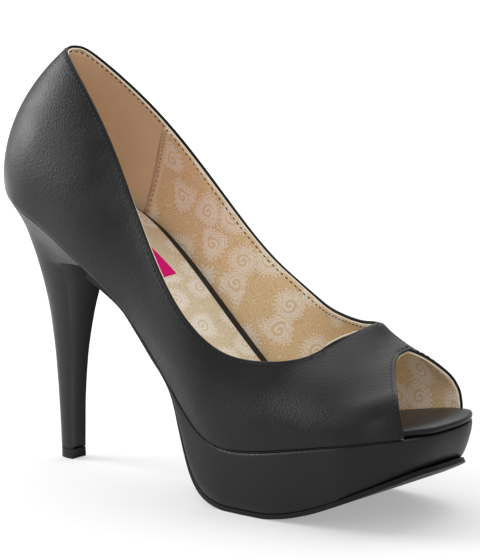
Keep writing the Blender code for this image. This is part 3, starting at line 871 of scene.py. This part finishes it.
# Strong pink woven ribbon: dull, with a fine rib across
PINK_PATCH, patch_tree, patch_shader = new_material("pink_woven_patch", "#e0007c", 0.6,
                                                    Specular_IOR_Level=0.15)
patch_place = node(patch_tree, "ShaderNodeTexCoord").outputs["Object"]
patch_weave = node(patch_tree, "ShaderNodeTexWave", {"Scale": 1100.0, "bands_direction": "Y"},
                   Vector=patch_place)
emboss(patch_tree, patch_shader, patch_weave.outputs["Fac"], 0.25, 0.0001)
patch_rings = []
patch_x = np.linspace(PATCH_START, PATCH_END, 24) * LENGTH
for level in (PATCH_GLUE, PATCH_GLUE + PATCH_THICK):
    ring = []
    for y, order in zip(PATCH_SIDES, (patch_x, patch_x[::-1])):
        for x in order:
            height = feather_height(x) + insole_high + SOCK_GLUE + SOCK_THICK + level
            ring.append((x, y, height))
    patch_rings.append(arched(ring))
patch = skin("sock_patch", patch_rings, PINK_PATCH)
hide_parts("sock_lining")

# Outsole: thin matte black rubber sheet, glued along the shank, down the back of the platform and
# under it to the toe, where it stands a little proud.
SOLE_INSET = 0.0028
OUTSOLE_THICK = 0.0020
# Underside of the outsole. Columns: x as a share of LENGTH, height as a share of SEAT_RISE
UNDERSIDE = np.array([
    (0.266, 0.731),
    (0.305, 0.690),
    (0.349, 0.632),
    (0.385, 0.554),
    (0.420, 0.477),
    (0.448, 0.423),
    (0.464, 0.386),
    (0.474, 0.353),
    (0.482, 0.313),
    (0.490, 0.262),
    (0.499, 0.207),
    (0.509, 0.152),
    (0.520, 0.104),
    (0.535, 0.062),
    (0.555, 0.030),
    (0.582, 0.010),
    (0.618, 0.000),
    (0.700, 0.000),
    (0.745, 0.010),
    (0.800, 0.036),
    (0.850, 0.070),
    (0.900, 0.112),
    (0.950, 0.156),
    (0.985, 0.190),
])
PLATFORM_START = 0.468
PLATFORM_FLAT = 0.630
# Thin black rubber sheet: duller and rougher than the leather, with hardly any reflection
OUTSOLE_RUBBER = faux_leather("matte_black_rubber_sole", "#101011", 0.50, 0.62, 1.3, 0.15)
toe_turns = np.radians((2, 14, 26, 38, 50, 61, 71, 79, 85))
sole_x = np.concatenate((UNDERSIDE[:-4, 0] * LENGTH,
                         TOE_START + (TOE_ROUND - SOLE_INSET) * np.sin(toe_turns)))
sole_z = curve(UNDERSIDE, 1, sole_x / LENGTH) * SEAT_RISE
run = np.concatenate(((0,), np.cumsum(np.hypot(np.diff(sole_x), np.diff(sole_z)))))
fine = np.linspace(0, run[-1], 150)
path = np.stack((run, sole_x, sole_z), axis=1)
fine_x = curve(path, 1, fine)
fine_z = curve(path, 2, fine)
slope_x = np.gradient(fine_x)
slope_z = np.gradient(fine_z)
length = np.hypot(slope_x, slope_z)
platform_under = []
sole_rings = []
for x, z, nx, nz in zip(fine_x, fine_z, -slope_z / length, slope_x / length):
    thick = OUTSOLE_THICK
    if x < PLATFORM_START * LENGTH:
        # Along the shank the sheet is as thick as it takes to reach the upper
        for _ in range(4):
            thick += (feather_height(x + thick * nx) - GAP - z - thick * nz) * nz
    else:
        platform_under.append((x + (thick + GAP) * nx, z + (thick + GAP) * nz))
    reach = [half_width(x, side, SOLE_INSET) for side in (-1, 1)]
    low = [(x, y, z) for y in np.linspace(*reach, 9)]
    high = [(x + thick * nx, y, z + thick * nz) for _, y, _ in low[::-1]]
    sole_rings.append(low + high)
outsole = skin("outsole_sheet", sole_rings, OUTSOLE_RUBBER)
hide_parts("outsole")
platform_under = np.array(platform_under)

# Platform: a moulded board wrapped in the same faux leather as the upper, its cover turned in at
# the top seam and tucked under at the bottom. The front is undercut.
UNDERCUT = 0.0030
# Columns: part of the way down, inset from the sole's outline
PROFILE = np.array(((0.00, 0.0014), (0.02, 0.0006), (0.05, 0.0001), (0.20, 0.0000), (0.50, 0.0004),
                    (0.80, 0.0012), (0.95, 0.0022), (1.00, 0.0030)))
# Faux leather stretched over the board: same black, slightly duller than the upper
PLATFORM_LEATHER = faux_leather("black_pu_leather_platform", "#19191a", 0.34, 0.48, 0.9, 0.30)


def platform_ring(share):
    """Outline of the platform part of the way down from the feather line to the outsole."""
    inset = float(curve(PROFILE, 1, share))

    def edge(q, side):
        toe_turn = max(q * LENGTH - TOE_START, 0.0) / TOE_ROUND
        return inset + UNDERCUT * share ** 1.5 * math.sin(min(toe_turn, 1.0) * math.pi / 2)

    def height(x):
        crown = feather_height(x)
        floor = float(np.interp(x, platform_under[:, 0], platform_under[:, 1]))
        return crown + share * (floor - crown)
    return flat_ring(platform_foot, edge, height)


behind = platform_under[1:, 0] / LENGTH
behind = behind[behind < PLATFORM_FLAT]
platform_foot = np.concatenate((behind, np.linspace(PLATFORM_FLAT, TOE_START / LENGTH, 36),
                                toe_stations))
shares = np.concatenate(((0, 0.01, 0.02, 0.035, 0.05, 0.08, 0.12), np.linspace(0.2, 1.0, 15)))
platform = skin("platform_cover", [platform_ring(s) for s in shares], PLATFORM_LEATHER, sharp=50)
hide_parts("platform")

# Heel: moulded stiletto core wrapped in faux leather, flared into the seat, with a hollow breast,
# crisp edges and a lip that runs on under the shank. Its cover is pulled tight and smooth.
LIFT_HEIGHT = 0.0042
LIFT_TOP = LIFT_HEIGHT + GAP
# Heel sections from the tip up. Columns: part of the way from the lift to the seat, x of the breast
# edge and depth from breast to rear as shares of LENGTH, half width as a share of half the ball
HEEL = np.array([
    (0.000, 0.119, 0.0400, 0.112),
    (0.076, 0.120, 0.0410, 0.120),
    (0.175, 0.122, 0.0440, 0.126),
    (0.346, 0.129, 0.0545, 0.148),
    (0.517, 0.140, 0.0725, 0.210),
    (0.645, 0.150, 0.0925, 0.300),
    (0.735, 0.155, 0.1060, 0.395),
])
# Flare from the last section into the seat. Columns: part of the way up, share of the way out
FLARE = np.array(((0.00, 0.00), (0.28, 0.20), (0.55, 0.42), (0.80, 0.72), (1.00, 1.00)))
LIP_REACH = 0.262
LIP_BEND = 1.3
BREAST_HOLLOW = 0.22
BACK_FULL = 0.9
SEAT_TUCK = 0.0006
CRISP_EDGE = 0.00025
HALF_TURN = np.linspace(-1, 1, 61)
FRONT = np.linspace(1, -1, 11)[1:-1]
# Faux leather pulled tight over the core: the smoothest of the covers, with long highlights
HEEL_LEATHER = faux_leather("black_pu_leather_heel", "#1b1b1c", 0.30, 0.42, 0.9, 0.2, 0.18)


def heel_ring(breast, depth, width, z):
    """One section of the heel: round at the back, hollow at the breast."""
    b = width * HALF_BALL
    ring = []
    for t in HALF_TURN * math.pi / 2:
        y = math.copysign(abs(math.sin(t)) ** BACK_FULL, t) * b
        ring.append((breast * LENGTH - depth * LENGTH * math.cos(t), y, z))
    hollow = BREAST_HOLLOW * b
    return ring + [(breast * LENGTH - hollow * (1 - f * f), f * b, z) for f in FRONT]


def heel_section(share):
    """Section part of the way from the lift to the seat."""
    height = LIFT_TOP + share * (SEAT_RISE - LIFT_TOP)
    return heel_ring(*[float(curve(HEEL, k, share)) for k in (1, 2, 3)], height)


seat = []
for t in HALF_TURN:
    x, y, _, _ = outline(LIP_REACH * abs(t) ** LIP_BEND, -1 if t < 0 else 1, SEAT_TUCK)
    seat.append((x, y, feather_height(x) - GAP))
seat_x, outer_y, seat_z = seat[0]
inner_y = seat[-1][1]
seat += [(seat_x, (1 + f) / 2 * inner_y + (1 - f) / 2 * outer_y, seat_z) for f in FRONT]
seat = np.array(seat)
heel_rings = [heel_section(s) for s in np.linspace(HEEL[0, 0], HEEL[-1, 0], 40)]
shoulder = np.array(heel_rings[-1])
for s in np.linspace(0, 1, 10)[1:]:
    out = float(curve(FLARE, 1, s))
    part = np.array((out, out, s))
    heel_rings.append([tuple(p) for p in shoulder + (seat - shoulder) * part])
heel = skin("heel_cover", heel_rings, HEEL_LEATHER, extra=len(FRONT))
crisp = heel.modifiers.new("crisp", "BEVEL")
crisp.width = CRISP_EDGE
crisp.segments = 2
crisp.angle_limit = math.radians(50)
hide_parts("heel")

# Lift: a small block of hard black rubber under the heel, cut flush with the cover and pinned to
# the core. It takes the wear and stands on the floor.
tip = [float(v) for v in HEEL[0, 1:4]]
# Solid rubber: the darkest of the pieces, and dull
LIFT_RUBBER = faux_leather("hard_black_rubber_lift", "#0e0e0f", 0.45, 0.55, 1.0, 0.1)
lift = skin("heel_lift_block", [heel_ring(*tip, z) for z in (0.0, LIFT_HEIGHT)], LIFT_RUBBER,
            extra=len(FRONT))
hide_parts("heel_lift")

# Studio: a wide open floor of pale paper that glows a little, more with the distance, so that it
# runs to white away from the shoe. White surround, three large soft lights and the photo's camera.
FLOOR_REACH = 14.0
# Matte white paper with a painted glow: no reflection, and the glow lifts its soft grey shadows
PAPER_FLOOR, floor_tree, floor_shader = new_material(
    "white_paper_floor", "#bababa", 0.9, Specular_IOR_Level=0.1,
    Emission_Color=(1.0, 1.0, 1.0, 1.0))
floor_place = node(floor_tree, "ShaderNodeTexCoord").outputs["Object"]
floor_far = node(floor_tree, "ShaderNodeVectorMath", {"operation": "LENGTH"}, at0=floor_place)
# Painted glow: the floor gives off light of its own, weakest near the shoe and strongest far out
floor_glow = node(floor_tree, "ShaderNodeMapRange", {
    "interpolation_type": "SMOOTHSTEP", "From Min": 0.25, "From Max": 1.3, "To Min": 0.36,
    "To Max": 0.85}, Value=floor_far.outputs["Value"])
floor_tree.links.new(floor_glow.outputs[0], floor_shader.inputs["Emission Strength"])
floor_mesh = bpy.data.meshes.new("floor")
floor_mesh.from_pydata([(x * FLOOR_REACH, y * FLOOR_REACH, 0.0) for x, y in
                        ((-1, -1), (1, -1), (1, 1), (-1, 1))], [], [(0, 1, 2, 3)])
floor_mesh.materials.append(PAPER_FLOOR)
floor = bpy.data.objects.new("floor", floor_mesh)
bpy.context.scene.collection.objects.link(floor)

world = bpy.data.worlds.new("studio")
bpy.context.scene.world = world
world.use_nodes = True
surround = world.node_tree.nodes["Background"]
surround.inputs["Color"].default_value = (1.0, 1.0, 1.0, 1.0)
surround.inputs["Strength"].default_value = 0.50
LIGHTS_AIM = Vector((0.0, 0.0, 0.08))
for name, place, size, power in (("left", (-1.20, -0.40, 0.60), 0.8, 19.0),
                                 ("front", (0.80, -1.15, 0.75), 1.0, 6.5),
                                 ("behind", (-0.30, 0.70, 1.25), 2.0, 23.0)):
    lamp = bpy.data.lights.new(name, "AREA")
    lamp.shape = "SQUARE"
    lamp.size = size
    lamp.energy = power
    made = bpy.data.objects.new(name, lamp)
    made.location = place
    made.rotation_euler = (LIGHTS_AIM - Vector(place)).to_track_quat("-Z", "Y").to_euler()
    bpy.context.scene.collection.objects.link(made)

VIEW_TURN = math.radians(41.0052)
VIEW_RISE = math.radians(10.1383)
VIEW_ROLL = math.radians(-1.634)
EYE = np.array((0.979557, -0.981700, 0.322330)) - ORIGIN
PIXELS_FOCAL = 3139.1
PIXELS_TALL = 560
SENSOR = 36.0
back = Vector((math.sin(VIEW_TURN) * math.cos(VIEW_RISE),
               -math.cos(VIEW_TURN) * math.cos(VIEW_RISE), math.sin(VIEW_RISE)))
right = Vector((math.cos(VIEW_TURN), math.sin(VIEW_TURN), 0.0))
up = back.cross(right)
turned_right = right * math.cos(VIEW_ROLL) + up * math.sin(VIEW_ROLL)
turned_up = up * math.cos(VIEW_ROLL) - right * math.sin(VIEW_ROLL)
camera_data = bpy.data.cameras.new("camera")
camera_data.sensor_width = SENSOR
camera_data.lens = PIXELS_FOCAL / PIXELS_TALL * SENSOR
camera = bpy.data.objects.new("camera", camera_data)
camera.matrix_world = Matrix((
    (turned_right.x, turned_up.x, back.x, EYE[0]),
    (turned_right.y, turned_up.y, back.y, EYE[1]),
    (turned_right.z, turned_up.z, back.z, EYE[2]),
    (0.0, 0.0, 0.0, 1.0),
))
bpy.context.scene.collection.objects.link(camera)
bpy.context.scene.camera = camera
bpy.context.scene.view_settings.view_transform = "Standard"
